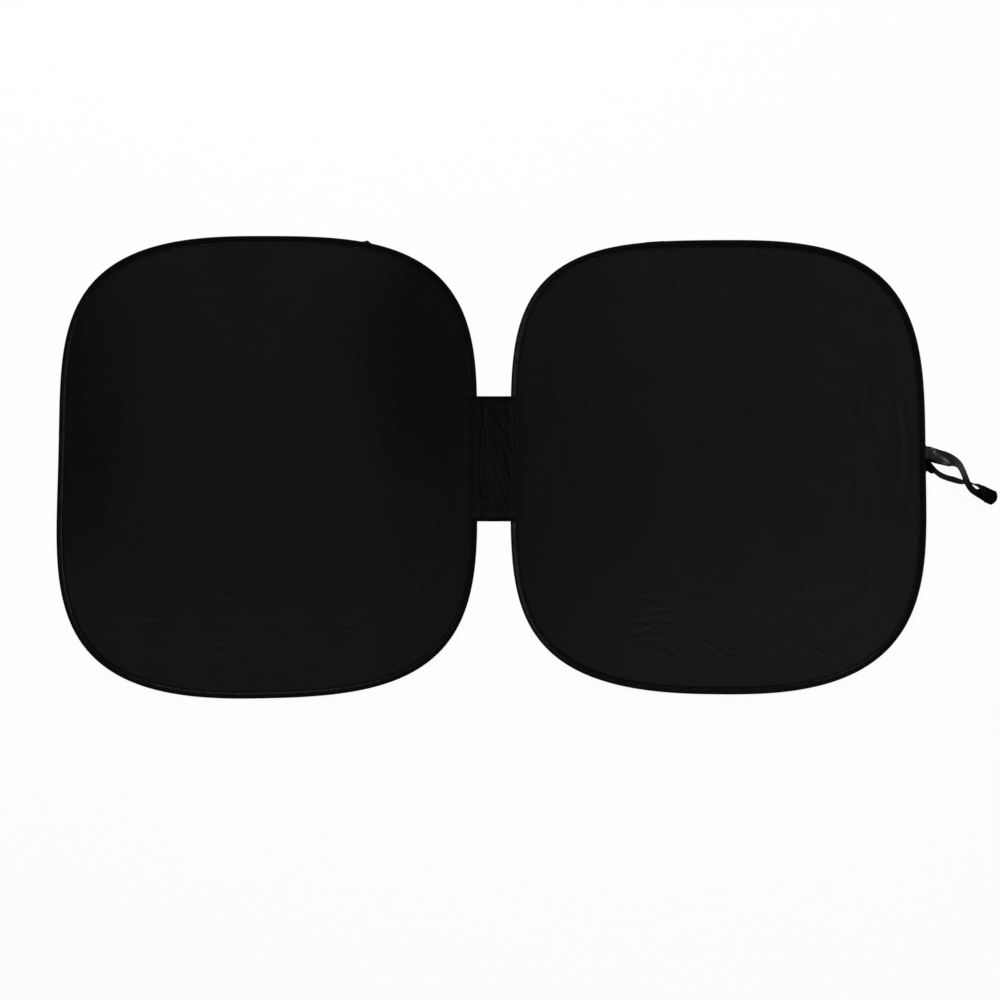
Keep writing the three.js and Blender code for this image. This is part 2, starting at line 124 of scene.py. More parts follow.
def wander(reach, length, waves, size, seed):
    """A closed, uneven wave along a hoop; each wave is a length, and size is its height."""
    dice = random.Random(seed)
    total = np.zeros_like(np.asarray(reach, float))
    for wave in waves:
        turns = max(1, round(length / wave * dice.uniform(0.85, 1.15)))
        total += np.sin(2 * math.pi * (turns * reach / length + dice.random()))
    return size * total / len(waves) ** 0.5


def bump_at(reach, length, middle, width):
    """A smooth swelling at one place along a hoop."""
    away = (reach - middle + length / 2) % length - length / 2
    return np.exp(-((away / width) ** 2))


# Shader arithmetic: a socket with operators, and one method for every other node
class Value:
    def __init__(self, finish, socket):
        self.finish = finish
        self.socket = socket

    def math(self, operation, *values):
        inputs = dict(enumerate(values))
        return self.finish.node("ShaderNodeMath", {"operation": operation}, inputs)

    def __add__(self, other):
        return self.math("ADD", self, other)

    def __sub__(self, other):
        return self.math("SUBTRACT", self, other)

    def __rsub__(self, other):
        return self.math("SUBTRACT", other, self)

    def __mul__(self, other):
        return self.math("MULTIPLY", self, other)

    def __truediv__(self, other):
        return self.math("DIVIDE", self, other)

    __radd__ = __add__
    __rmul__ = __mul__

    def wave(self):
        return self.math("SINE", self)

    def size(self):
        return self.math("ABSOLUTE", self)

    def clamped(self):
        return self.finish.node("ShaderNodeClamp", {}, {0: self})


class Finish:
    """A material made of nodes."""

    def __init__(self, name):
        self.material = bpy.data.materials.new(name)
        self.material.use_nodes = True
        self.tree = self.material.node_tree
        self.tree.nodes.clear()

    def node(self, kind, settings=None, inputs=None, output=0):
        made = self.tree.nodes.new(kind)
        for name, setting in (settings or {}).items():
            setattr(made, name, setting)
        for name, value in (inputs or {}).items():
            if isinstance(value, Value):
                self.tree.links.new(value.socket, made.inputs[name])
            else:
                made.inputs[name].default_value = value
        return Value(self, made.outputs[output]) if made.outputs else None

    def place(self):
        return self.node("ShaderNodeTexCoord", output="Object")

    def split(self, vector):
        return [self.node("ShaderNodeSeparateXYZ", {}, {0: vector}, axis) for axis in (0, 1, 2)]

    def noise(self, vector, scale, detail=3.0, roughness=0.55, stretch=(1, 1, 1)):
        times = {"operation": "MULTIPLY"}
        pulled = self.node("ShaderNodeVectorMath", times, {0: vector, 1: stretch})
        return self.node(
            "ShaderNodeTexNoise",
            {},
            {"Vector": pulled, "Scale": scale, "Detail": detail, "Roughness": roughness},
        )

    def between(self, share, dark, light):
        """A colour between two, chosen by a share from 0 to 1."""
        settings = {"data_type": "RGBA"}
        return self.node("ShaderNodeMix", settings, {0: share, 6: (*dark, 1), 7: (*light, 1)}, 2)

    def bump(self, height, distance, below=None):
        inputs = {"Height": height, "Distance": distance, "Strength": 1.0}
        if below is not None:
            inputs["Normal"] = below
        return self.node("ShaderNodeBump", {}, inputs)

    def surface(self, **sockets):
        """The shader itself; a socket's name is written with underscores for its spaces."""
        inputs = {name.replace("_", " "): value for name, value in sockets.items()}
        shader = self.node("ShaderNodeBsdfPrincipled", {}, inputs)
        self.node("ShaderNodeOutputMaterial", {}, {"Surface": shader})
        return self.material


def patch(x, y, middle, half):
    """A soft oval mask: 1 in its middle, 0 at its rim."""
    along = (x - middle[0]) / half[0]
    up = (y - middle[1]) / half[1]
    return (1 - along * along - up * up).clamped()


# Finishes; their lengths are in metres, because a material works in metres
THREAD_PITCH = 0.0011
WEAVE_DEPTH = 0.000012
GRAIN_DEPTH = 0.00006
CREASE_DEPTH = 0.0002


def cloth_finish(name, dark, light, level, roughness):
    """Plain-woven black polyester with the small creases that folding leaves.

    It is lighter low down, at the right panel's lower right and away from the bridge, and darker in
    two places on the left panel.
    """
    made = Finish(name)
    place = made.place()
    x, y, _ = made.split(place)
    thread = 2 * math.pi / THREAD_PITCH
    weave = (x * thread).wave() * (y * thread).wave()
    lying = made.noise(place, 26.0, 5.0, 0.6, (0.35, 1.0, 1.0))
    upright = made.noise(place, 19.0, 4.0, 0.55, (1.0, 0.3, 1.0))
    lying_creases = (1 - (lying - 0.5).size() * 7).clamped() * 0.6
    creases = lying_creases + (1 - (upright - 0.5).size() * 7).clamped() * 0.35
    soft = made.noise(place, 9.0, 3.0, 0.5)
    body = made.bump(creases * 0.45 + soft * 2.0, CREASE_DEPTH)
    grain = made.noise(place, 420.0, 2.0, 0.6, (1.0, 0.6, 1.0))
    grainy = made.bump(grain, GRAIN_DEPTH, body)
    normal = made.bump(weave, WEAVE_DEPTH, grainy)
    cloudy = made.noise(place, 7.0, 4.0, 0.6, (1.3, 0.6, 1.0))
    # The creases also lighten the colour a little: a painted highlight along their ridges
    shade = cloudy * 0.8 + (grain - 0.5) * 0.5 + creases * 0.1
    # Lighter away from the bridge, low down and at the right panel's lower right, and darker in two
    # soft patches on the left panel
    from_bridge = ((x.size() - 0.03) / 0.22).clamped()
    right_side = ((x - 0.1) / 0.5).clamped() * ((0.78 - x) / 0.16).clamped()
    lower_right_lighter = right_side * ((0.05 - y) / 0.35).clamped()
    low = ((-0.12 - y) / 0.22).clamped()
    darker_patches = patch(x, y, (-0.74, 0.12), (0.15, 0.36)) + patch(x, y, (-0.12, 0.18), (0.17, 0.26))
    shade = (shade * 0.55 + from_bridge * 0.3 + lower_right_lighter * 0.33 + low * 0.32 - darker_patches * 0.5).clamped()
    colour = made.between(shade, dark, light)
    return made.surface(
        Base_Color=colour,
        Roughness=roughness + cloudy * 0.1,
        Normal=normal,
        Specular_IOR_Level=level,
    )


TAPE_DARK = (0.0006, 0.0006, 0.0007)
TAPE_LIGHT = (0.0013, 0.0013, 0.0014)
TAPE_RIB_DEPTH = 0.00002


def tape_finish(name, ribs_across, ribs_along, level, roughness, lumpy):
    """Woven black tape, its ribs laid out by the tape's own map."""
    made = Finish(name)
    place = made.node("ShaderNodeUVMap", {"uv_map": "tape"})
    across, along, _ = made.split(place)
    ribs = (across * (2 * math.pi * ribs_across)).wave()
    cross = (along * (2 * math.pi * ribs_along)).wave()
    solid = made.place()
    worn = made.noise(solid, 60.0, 4.0, 0.6)
    puckers = made.noise(solid, 150.0, 2.0, 0.5)
    lumps = made.bump(puckers + worn, lumpy)
    normal = made.bump(ribs * (1 + cross * 0.4), TAPE_RIB_DEPTH, lumps)
    colour = made.between((worn * 1.1 + ribs * 0.08).clamped(), TAPE_DARK, TAPE_LIGHT)
    return made.surface(
        Base_Color=colour,
        Roughness=roughness + worn * 0.12,
        Normal=normal,
        Specular_IOR_Level=level,
    )


ELASTIC_DARK = (0.0006, 0.0005, 0.0004)
ELASTIC_LIGHT = (0.0018, 0.0013, 0.0009)
ELASTIC_RIBS = 36
ELASTIC_RIB_DEPTH = 0.000004
ELASTIC_WEAR_DEPTH = 0.00002
TAUT_SHARE = 0.22
TAUT_FADE = 0.1


def elastic_finish():
    """Satin elastic: smooth where it is pulled flat by the binding, matt where it twists."""
    made = Finish("black_satin_elastic")
    across, along, _ = made.split(made.node("ShaderNodeUVMap", {"uv_map": "tape"}))
    ribs = (across * (2 * math.pi * ELASTIC_RIBS)).wave()
    worn = made.noise(made.place(), 60.0, 4.0, 0.6)
    wear = made.bump(worn, ELASTIC_WEAR_DEPTH)
    normal = made.bump(ribs, ELASTIC_RIB_DEPTH, wear)
    colour = made.between((worn * 0.8 + ribs * 0.08).clamped(), ELASTIC_DARK, ELASTIC_LIGHT)
    taut = 1 - ((along - TAUT_SHARE) / TAUT_FADE).clamped()
    return made.surface(
        Base_Color=colour,
        Roughness=0.65 - taut * 0.3,
        Normal=normal,
        Specular_IOR_Level=0.014,
        Coat_Weight=taut * 0.6,
        Coat_Roughness=0.24,
        Coat_IOR=1.3,
    )


THREAD_DARK = (0.0004, 0.0004, 0.0005)
THREAD_LIGHT = (0.0014, 0.0014, 0.0015)
FIBRE_DEPTH = 0.00003
ROLLING_DEPTH = 0.00001


def thread_finish():
    made = Finish("black_thread")
    fibre = made.noise(made.place(), 900.0, 2.0, 0.5)
    colour = made.between(fibre, THREAD_DARK, THREAD_LIGHT)
    normal = made.bump(fibre, FIBRE_DEPTH)
    return made.surface(
        Base_Color=colour, Roughness=0.45 + fibre * 0.2, Normal=normal, Specular_IOR_Level=0.02
    )


def steel_finish(name, tone, stretch):
    """Bright tempered strip with faint rolling marks."""
    made = Finish(name)
    marks = made.noise(made.place(), 700.0, 3.0, 0.5, stretch)
    low = tuple(0.8 * part for part in tone)
    normal = made.bump(marks, ROLLING_DEPTH)
    colour = made.between(marks, low, tone)
    roughness = 0.22 + marks * 0.2
    return made.surface(Base_Color=colour, Roughness=roughness, Metallic=1.0, Normal=normal)


PANEL_DARK = (0.0014, 0.0014, 0.0015)
PANEL_LIGHT = (0.0062, 0.0062, 0.0063)
CLOTH = cloth_finish("black_panel_cloth", PANEL_DARK, PANEL_LIGHT, 0.026, 0.38)
# The bridge's cloth is the panel cloth given darker colours: painted shade over the slack bridge
SLACK_DARK = (0.0010, 0.0010, 0.0011)
SLACK_LIGHT = (0.0042, 0.0042, 0.0043)
SLACK_CLOTH = cloth_finish("black_bridge_cloth", SLACK_DARK, SLACK_LIGHT, 0.028, 0.39)
TAPE = tape_finish("black_binding_tape", 22, 3200, 0.03, 0.21, 0.00045)
HEM = tape_finish("black_hem_tape", 14, 90, 0.018, 0.36, 0.0004)
ELASTIC = elastic_finish()
THREAD = thread_finish()
STEEL = steel_finish("tempered_steel_strip", (0.42, 0.43, 0.45), (1, 1, 6))
PLATED = steel_finish("plated_steel_ferrule", (0.5, 0.5, 0.5), (1, 8, 8))


# Shapes are lists of points, faces and the map's place at each corner of each face
def quads(rows, columns, closed_rows, closed_columns):
    down = np.arange(rows if closed_rows else rows - 1)
    over = np.arange(columns if closed_columns else columns - 1)
    i, k = np.meshgrid(down, over, indexing="ij")
    i = i.ravel()
    k = k.ravel()
    next_i = (i + 1) % rows
    next_k = (k + 1) % columns
    around = ((i, k), (i, next_k), (next_i, next_k), (next_i, k))
    faces = np.stack([row * columns + column for row, column in around], 1)
    steps = ((0, 0), (1, 0), (1, 1), (0, 1))
    corners = np.stack([np.stack([k + over, i + down], 1) for over, down in steps], 1)
    return faces, corners / [columns, rows]


def swept(rings, closed):
    """A skin over rings of points; an open one gets a flat face at each end."""
    rows, columns = rings.shape[:2]
    faces, corners = quads(rows, columns, closed, True)
    faces = faces.tolist()
    corners = corners.tolist()
    if not closed:
        first = list(range(columns))
        last = [(rows - 1) * columns + k for k in first]
        for end in (first[::-1], last):
            faces.append(end)
            corners.append([(0.5, 0.5)] * columns)
    return outwards(rings.reshape(-1, 3), faces, corners)


def sheeted(upper, thickness):
    """A thin closed sheet from a grid of its upper face's points."""
    rows, columns = upper.shape[:2]
    lower = upper - [0, 0, thickness]
    faces, corners = quads(rows, columns, False, False)
    count = rows * columns
    edge = [*range(columns)]
    edge += [columns * i + columns - 1 for i in range(1, rows)]
    edge += [count - 1 - k for k in range(1, columns)]
    edge += [columns * i for i in range(rows - 2, 0, -1)]
    rim = [[a, a + count, b + count, b] for a, b in zip(edge, edge[1:] + edge[:1])]
    every = faces[:, ::-1].tolist() + (faces + count).tolist() + rim
    places = corners[:, ::-1].tolist() + corners.tolist() + [[(0, 0)] * 4] * len(rim)
    points = np.concatenate([upper.reshape(-1, 3), lower.reshape(-1, 3)])
    return outwards(points, [face[::-1] for face in every], [place[::-1] for place in places])


def outwards(points, faces, corners):
    """The same shape with its faces turned outwards."""
    volume = 0.0
    for size in {len(face) for face in faces}:
        group = np.array([face for face in faces if len(face) == size])
        first = points[group[:, 0]]
        for k in range(1, size - 1):
            third = points[group[:, k + 1]]
            volume += np.einsum("ij,ij->", first, np.cross(points[group[:, k]], third))
    if volume < 0:
        faces = [face[::-1] for face in faces]
        corners = [corner[::-1] for corner in corners]
    return points, faces, corners


def joined(*shapes):
    points, faces, corners, count = [], [], [], 0
    for shape in shapes:
        points.append(shape[0])
        faces += [[k + count for k in face] for face in shape[1]]
        corners += shape[2]
        count += len(shape[0])
    return np.concatenate(points), faces, corners


def made_piece(name, shape, material, slot, *stands_for, sharp=50):
    points, faces, corners = shape
    mesh = bpy.data.meshes.new(name)
    mesh.from_pydata((np.asarray(points) * MM).tolist(), [], faces)
    layer = mesh.uv_layers.new(name="tape")
    flat = np.array([place for corner in corners for place in corner], np.float32)
    layer.data.foreach_set("uv", flat.ravel())
    mesh.polygons.foreach_set("use_smooth", [True] * len(mesh.polygons))
    mesh.set_sharp_from_angle(angle=math.radians(sharp))
    mesh.materials.append(material)
    piece = bpy.data.objects.new(name, mesh)
    bpy.context.scene.collection.objects.link(piece)
    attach(piece, "root")
    if stands_for:
        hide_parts(*stands_for)
    return piece


# Edge binding: a tape folded over the steel and sewn through both lips and the cloth.
# Its half section runs from the lips' edge, over the tube, to the outer edge.
SEAM_OUT = -8.9
LIP_WIDTH = 2.05
OUTER = np.array([
    (-10.95, 0.72), (-10.75, 1.12), (-10.3, 1.3), (-9.6, 1.1), (-8.9, 0.78), (-8.3, 1.05),
    (-7.6, 1.45), (-6.6, 1.85), (-5.4, 2.2), (-4.2, 2.48), (-3.0, 2.7), (-1.8, 2.87),
    (-0.7, 2.99), (0.2, 3.02), (0.9, 2.93), (1.4, 2.7), (1.75, 2.25), (1.95, 1.6), (2.05, 0.8),
    (2.05, 0),
])
INNER = np.array([
    (-10.95, 0.5), (-8.9, 0.42), (-7.6, 0.9), (-5.4, 1.65), (-3.0, 2.15), (-1.4, 2.38),
    (0.9, 2.42), (1.3, 2.28), (1.45, 1.6), (1.45, 0),
])


# How far the right hoop rises over the elastic's ends, how far each way, the run down, and the
# lowest that a binding may lie
BAND_LIFT = 1.6
LIFT_HALF = 37.9
LIFT_RUN = 90
LOWEST = 0.03

# How uneven the lips' edges, their puckers and the tape's bulge over the steel are
EDGE_WAVE = 0.42
EDGE_OUT = 0.25
LIP_WAVE = 0.16
LIP_RISE = 0.12
SWELL = 0.035
BULGE_RUN = 11


def hoop_lift(hoop, reach):
    """The right hoop rises a little over the elastic band's two ends."""
    if hoop is left_hoop:
        return np.zeros_like(reach)
    place = hoop.at(reach, 0.0 * reach)
    lift = BAND_LIFT * (1 - eased((np.abs(place[:, 1]) - LIFT_HALF) / LIFT_RUN))
    return np.where(place[:, 0] > hoop.x, lift, 0)


def binding_rings(hoop, reach, seed, proud=0.0, tip=None, skew=0.0):
    """Rings of the tape's section at places along a hoop. Proud is a second layer's height."""
    length = hoop.length
    upper = OUTER.copy()
    inner = INNER.copy()
    if proud:
        inner = OUTER.copy()
        upper[:, 1] += proud
        upper[-1, 0] += proud
        upper[-2, 0] += proud
        upper[-3, 0] += proud * 0.8
        upper[-4, 0] += proud * 0.5
    section = np.concatenate([upper, (upper * [1, -1])[-2::-1], inner * [1, -1], inner[-2::-1]])
    out = section[:, 0][None, :].repeat(len(reach), 0)
    height = section[:, 1][None, :].repeat(len(reach), 0)
    side = np.sign(height)
    lip = np.clip((SEAM_OUT - out) / LIP_WIDTH, 0, 1)
    reach_grid = reach[:, None] + skew * (out + 4.5)
    edge_wave = wander(reach, length, (23, 41, 97), EDGE_WAVE, seed) + EDGE_OUT
    lip_wave = [wander(reach, length, (15, 29, 53), LIP_WAVE, seed + k) for k in (1, 2)]
    swell = [wander(reach, length, (37, 74, 210), SWELL, seed + k) for k in (3, 4)]
    for hoop_of, x, y, how_much, width in TAPE_LUMPS:
        if hoop_of is hoop:
            lump = how_much * bump_at(reach, length, hoop.nearest(x, y), width)
            edge_wave += 1.3 * lump
            lip_wave[0] += 0.35 * np.abs(lump)
            swell[0] -= 0.09 * np.abs(lump)
    out = out - lip * edge_wave[:, None]
    rise = np.where(side > 0, lip_wave[0][:, None], lip_wave[1][:, None]) + LIP_RISE
    height = height + side * lip * np.clip(rise, 0, 1)
    full = np.where(side > 0, swell[0][:, None], swell[1][:, None]) - 0.04
    bulging = np.clip((out - SEAM_OUT) / BULGE_RUN, 0, 1) * np.clip((2.3 - out) / BULGE_RUN, 0, 1)
    bulging = 4 * bulging
    height = height * (1 + np.clip(full, -0.3, 0) * bulging)
    if tip is not None:
        pulled = np.clip((out - 1.2) / 0.85, 0, 1) ** 2 * np.exp(-((height / 1.3) ** 2))
        out = out + pulled * tip[:, None]
        pressed = height * (1 - 0.75 * np.clip(tip[:, None] / 3, 0, 1) * pulled)
        height = np.where(pulled > 0.02, pressed, height)
    place = hoop.at(reach_grid, out)
    lifted = hoop_lift(hoop, reach)[:, None] * eased((out - SEAM_OUT) / 4.9)
    z = np.maximum(HOOP_Z + height + lifted, LOWEST)
    return np.concatenate([place, z[..., None]], 2)


# Where the tape is lumpy: hoop, x, y, how much, and how far it runs
TAPE_LUMPS = [
    (left_hoop, -498, 371, 0.8, 9), (left_hoop, -426, 379, 0.7, 7), (left_hoop, -344, 381, 0.7, 9),
    (left_hoop, -262, 375, -0.8, 8), (left_hoop, -176, 352, 0.9, 12), (left_hoop, -136, 334, 1.0, 9),
    (left_hoop, -103, 311, 1.0, 11), (left_hoop, -47, 200, -0.9, 14), (left_hoop, -700, 250, 0.5, 12),
    (right_hoop, 168, 352, 0.8, 12), (right_hoop, 373, 376, -0.9, 5), (right_hoop, 440, 374, -0.8, 7),
    (right_hoop, 484, 370, -0.7, 5), (right_hoop, 660, 280, 0.8, 25), (right_hoop, 722, 200, -0.9, 30),
    (right_hoop, 295, -396, -0.7, 8), (right_hoop, 510, -390, -0.7, 9), (right_hoop, 40, 190, 0.9, 16),
]


BINDING_RINGS = 1200
WRAP_RINGS = 40
SECOND_LAYER = 0.4
WRAP_SKEW = 0.25


def edge_binding(name, hoop, node, seed, wrap_x, wrap_length, tip_reach):
    """The whole binding of one hoop, with the second layer where the tape's two ends meet."""
    reach = np.linspace(0, hoop.length, BINDING_RINGS, endpoint=False)
    body = swept(binding_rings(hoop, reach, seed), True)
    middle = hoop.nearest(wrap_x, HOOP_Y + 400)
    along = np.linspace(-wrap_length / 2, wrap_length / 2, WRAP_RINGS)
    tip = tip_reach * np.clip(1 - np.abs(along + 1.5) / (wrap_length * 0.42), 0, 1)
    wrap = binding_rings(hoop, middle + along, seed, SECOND_LAYER, tip, WRAP_SKEW)
    second = swept(wrap, False)
    return made_piece(name, joined(body, second), TAPE, "binding_tape", node, sharp=60)


edge_binding("left_binding_tape", left_hoop, "left_edge_binding", 11, -215.5, 17, 3.6)
edge_binding("right_binding_tape", right_hoop, "right_edge_binding", 47, 278, 33, 0.0)


# Panel cloth: a grid mapped smoothly onto the inside of a hoop, with folds laid on it.
# CREASED_SHARE of its rows lie in the lowest quarter. Puckers and folds start, and puckers and
# the sag run, so far in from the cloth's edge. DEEPEST is how far below the steel it may hang.
CLOTH_INSET = 3.0
ROWS = 250
COLUMNS = 184
CREASED_SHARE = 0.46
CLOTH_THICKNESS = 0.35
PUCKER_START = 8
PUCKER_HEIGHT = 0.14
PUCKER_REACH = 22
FOLDS_START = 9
SAG = 0.5
SAG_RUN = 160
DEEPEST = 2.2


def ridge(x, y, points, height, width):
    """A fold along a line of points, dying away at both its ends."""
    points = np.array(points, float)
    steps = np.linalg.norm(np.diff(points, axis=0), axis=1)
    total = steps.sum()
    best = np.full(x.shape, 1e9)
    where = np.zeros(x.shape)
    done = 0.0
    for (ax, ay), (bx, by), step in zip(points[:-1], points[1:], steps):
        share = np.clip(((x - ax) * (bx - ax) + (y - ay) * (by - ay)) / step**2, 0, 1)
        away = np.hypot(x - ax - share * (bx - ax), y - ay - share * (by - ay))
        closer = away < best
        where = np.where(closer, done + share * step, where)
        best = np.minimum(best, away)
        done += step
    fade = eased(where / (0.3 * total)) * eased((total - where) / (0.3 * total))
    return height * fade * np.exp(-((best / width) ** 2))


def scattered(x, y, zone, count, heading, run, height, width, seed):
    """Small folds strewn over a zone (left, right, lower, upper), all heading much one way."""
    dice = random.Random(seed)
    total = np.zeros(x.shape)
    for _ in range(count):
        cx = dice.uniform(zone[0], zone[1])
        cy = dice.uniform(zone[2], zone[3])
        turn = math.radians(heading + dice.gauss(0, 9))
        half = run * dice.uniform(0.5, 1.3) / 2
        bend = dice.uniform(-0.12, 0.12) / half
        tall = height * dice.uniform(0.4, 1.2) * dice.choice((1, 1, -1))
        wide = width * dice.uniform(0.7, 1.4)
        along = (x - cx) * math.cos(turn) + (y - cy) * math.sin(turn)
        aside = (y - cy) * math.cos(turn) - (x - cx) * math.sin(turn) - bend * along**2
        near = (np.abs(along) < half) & (np.abs(aside) < 3 * wide)
        fade = np.where(near, np.cos(np.clip(along / half, -1, 1) * math.pi / 2) ** 2, 0)
        total += tall * fade * np.exp(-((aside / wide) ** 2))
    return total


def panel_grid(hoop):
    """Points of the grid, and each one's depth from the cloth's edge and place along it."""
    rows = np.interp(np.linspace(0, 1, ROWS), [0, CREASED_SHARE, 1], [-1, -0.5, 1])
    v, u = np.meshgrid(rows, np.linspace(-1, 1, COLUMNS), indexing="ij")
    disc_x = u * np.sqrt(1 - v**2 / 2)
    disc_y = v * np.sqrt(1 - u**2 / 2)
    spoke = np.hypot(disc_x, disc_y)
    angle = np.arctan2(disc_y, disc_x)
    reach = np.arange(HOOP_POINTS) * hoop.step
    edge = hoop.at(reach, np.full(HOOP_POINTS, -CLOTH_INSET))
    edge_angle = np.arctan2(edge[:, 1] - HOOP_Y, edge[:, 0] - hoop.x)
    edge_radius = np.hypot(edge[:, 1] - HOOP_Y, edge[:, 0] - hoop.x)
    order = np.argsort(edge_angle)
    radius = np.interp(angle, edge_angle[order], edge_radius[order], period=2 * math.pi)
    place = np.interp(angle, edge_angle[order], reach[order])
    outward = hoop.outward[:, 0] * np.cos(edge_angle) + hoop.outward[:, 1] * np.sin(edge_angle)
    facing = np.interp(angle, edge_angle[order], outward[order], period=2 * math.pi)
    depth = radius * (1 - spoke) * facing
    x = hoop.x + spoke * radius * np.cos(angle)
    y = HOOP_Y + spoke * radius * np.sin(angle)
    ahead = np.roll(edge, -1, 0)
    area = 0.5 * np.abs(np.sum(edge[:, 0] * ahead[:, 1] - edge[:, 1] * ahead[:, 0]))
    return x, y, depth, place, area


def puckers(hoop, depth, place, seed):
    """Small gathers where the stretched cloth leaves the seam."""
    wave = wander(place, hoop.length, (17, 26, 43), PUCKER_HEIGHT, seed)
    inward = depth - PUCKER_START
    return wave * eased(inward / 10) * np.exp(-np.clip(inward, 0, None) / PUCKER_REACH)


def panel_sheet(name, hoop, node, folds):
    x, y, depth, place, area = panel_grid(hoop)
    inside = eased((depth - FOLDS_START) / 26)
    lift = puckers(hoop, depth, place, 5 if hoop is left_hoop else 8) + inside * folds(x, y)
    lowest = HOOP_Z - DEEPEST
    z = np.maximum(HOOP_Z - SAG * eased(depth / SAG_RUN) + lift, lowest) + CLOTH_THICKNESS / 2
    shape = sheeted(np.stack([x, y, z], 2), CLOTH_THICKNESS)
    piece = made_piece(name, shape, CLOTH, "panel_cloth", node)
    return piece


# Each strewing of folds: its zone, count, heading in degrees, length, height, width and seed
def left_folds(x, y):
    total = scattered(x, y, (-680, -170, -380, -225), 90, -4, 80, 0.55, 3.2, 21)
    total += scattered(x, y, (-660, -130, -330, 300), 60, 2, 110, 0.35, 6, 22)
    total += scattered(x, y, (-190, -50, -350, 80), 34, 92, 120, 0.35, 3.5, 23)
    total += scattered(x, y, (-720, -600, -300, 250), 20, 88, 130, 0.5, 8, 24)
    total += scattered(x, y, (-600, -100, 150, 360), 30, -8, 80, 0.4, 6, 25)
    return total


# The right panel's creases: their points, height and width, as the photograph shows them
RIGHT_RIDGES = [
    ([(200, -252), (229, -246), (264, -240), (304, -243)], 1.0, 2.4),
    ([(246, -264), (298, -262), (333, -251)], 1.0, 2.2),
    ([(220, -284), (252, -281), (287, -278), (318, -284), (333, -290)], 1.1, 2.4),
    ([(223, -312), (252, -301), (281, -287), (304, -278)], 1.2, 2.3),
    ([(232, -321), (264, -311), (281, -312), (304, -330), (321, -342)], 1.3, 2.5),
    ([(269, -301), (315, -294)], 1.0, 2.2), ([(236, -296), (275, -286)], -0.9, 2.2),
    ([(262, -322), (290, -334), (330, -352)], -0.8, 2.4), ([(280, -346), (330, -340)], 0.7, 2.4),
    ([(344, -301), (373, -321), (402, -341), (459, -344)], -1.0, 1.9),
    ([(387, -289), (419, -278), (450, -261)], 1.0, 2.3),
    ([(384, -312), (413, -327), (442, -325)], 0.7, 2.3),
    ([(465, -287), (534, -321), (611, -353)], -1.0, 1.8),
    ([(525, -273), (580, -252), (649, -229)], 1.0, 2.3),
    ([(700, 110), (716, 20), (712, -60)], -1.0, 5), ([(690, 120), (704, 20), (700, -70)], 0.8, 5),
]


def right_folds(x, y):
    total = scattered(x, y, (190, 350, -350, -225), 40, 10, 60, 0.45, 2.6, 31)
    total += scattered(x, y, (60, 170, -150, 160), 40, 90, 130, 0.3, 3, 32)
    total += scattered(x, y, (400, 620, -110, 120), 34, 2, 120, 0.45, 5, 33)
    total += scattered(x, y, (350, 690, -370, -220), 24, -14, 90, 0.3, 4, 34)
    total += scattered(x, y, (120, 640, 130, 350), 34, 5, 90, 0.4, 6, 35)
    total += scattered(x, y, (620, 720, -260, 250), 18, 84, 120, 0.45, 7, 36)
    for points, height, width in RIGHT_RIDGES:
        total += ridge(x, y, points, height, width)
    return total


# The two panels' cloths, each with its own folds
panel_sheet(
    "left_panel_sheet", left_hoop, "left_panel_cloth", left_folds
)
panel_sheet(
    "right_panel_sheet", right_hoop, "right_panel_cloth", right_folds
)

# Bridge: slack cloth on the floor between the hoops, over both bindings, hemmed above and below.
# It climbs to a crest over each steel, then drops over a shoulder to the lips.
BRIDGE_HALF = 108
BRIDGE_LEFT = -41
BRIDGE_RIGHT = 49
SLACK_X = 12
CREST_X = 29
CREST_END_X = 34.5
SHOULDER_RUN = 4
CREST_Z = 6.4
LIP_Z = 4.55
HEM_THICKNESS = 0.45
HEM_SLACK = 0.3
HEM_FOLD = 0.9
HEM_CLOTH = 0.6
HEM_CLIMB = 0.75
HEM_CLIMB_FROM = 92.7
HEM_CLIMB_RUN = 8
HEM_RIGHT = 38
BRIDGE_THICKNESS = 0.45
BRIDGE_IN_HEM = 0.75
BRIDGE_ROWS = 300
BRIDGE_COLUMNS = 140

# The slack middle's folds: their points, height and width
BRIDGE_FOLDS = [
    ([(-13, 97), (-3, 80), (10, 60), (22, 45)], 2.0, 2.2),
    ([(-8, 95), (2, 78), (16, 58)], -1.4, 1.9),
    ([(10, 93), (8, 71)], 1.2, 1.8), ([(22, 95), (28, 74), (33, 50)], 1.5, 2.0),
    ([(27, 58), (26, 41), (24, 24)], 1.4, 1.9), ([(16, 92), (21, 70), (25, 52)], -1.2, 1.8),
    ([(-11, 71), (-4, 50), (2, 28), (13, -2), (22, -28)], 1.8, 2.2),
    ([(-7, 64), (1, 42), (8, 14), (18, -20)], -1.3, 1.8),
    ([(-13, 41), (-9, 7), (0, -15), (9, -37), (17, -58)], 1.7, 2.2),
    ([(-11, 24), (-5, -8), (4, -32), (12, -56)], -1.2, 1.8),
    ([(-20, 71), (-23, 15), (-26, -37), (-20, -58), (-4, -93)], -1.8, 2.2),
    ([(-20, 15), (-17, -37), (-11, -62), (-3, -90)], 1.5, 2.0),
    ([(-17, -69), (-13, -88)], 1.4, 3.0), ([(2, -58), (7, -88)], 1.3, 1.9),
    ([(11, -71), (22, -97)], 1.5, 2.0), ([(13, -37), (24, -80)], 1.4, 2.0),
    ([(11, 7), (19, -15), (26, -37), (30, -58)], -1.4, 1.9), ([(6, -66), (15, -96)], -1.1, 1.8),
    ([(-25, 92), (-21, 62), (-18, 40)], 1.2, 2.2), ([(-16, 60), (-17, 20), (-13, -12)], 1.1, 2.0),
    ([(20, 20), (25, -10), (30, -34)], 1.2, 2.2), ([(-27, -46), (-23, -78), (-17, -100)], 1.2, 2.2),
    ([(36, -5), (36, -38)], 0.5, 6.0),
]


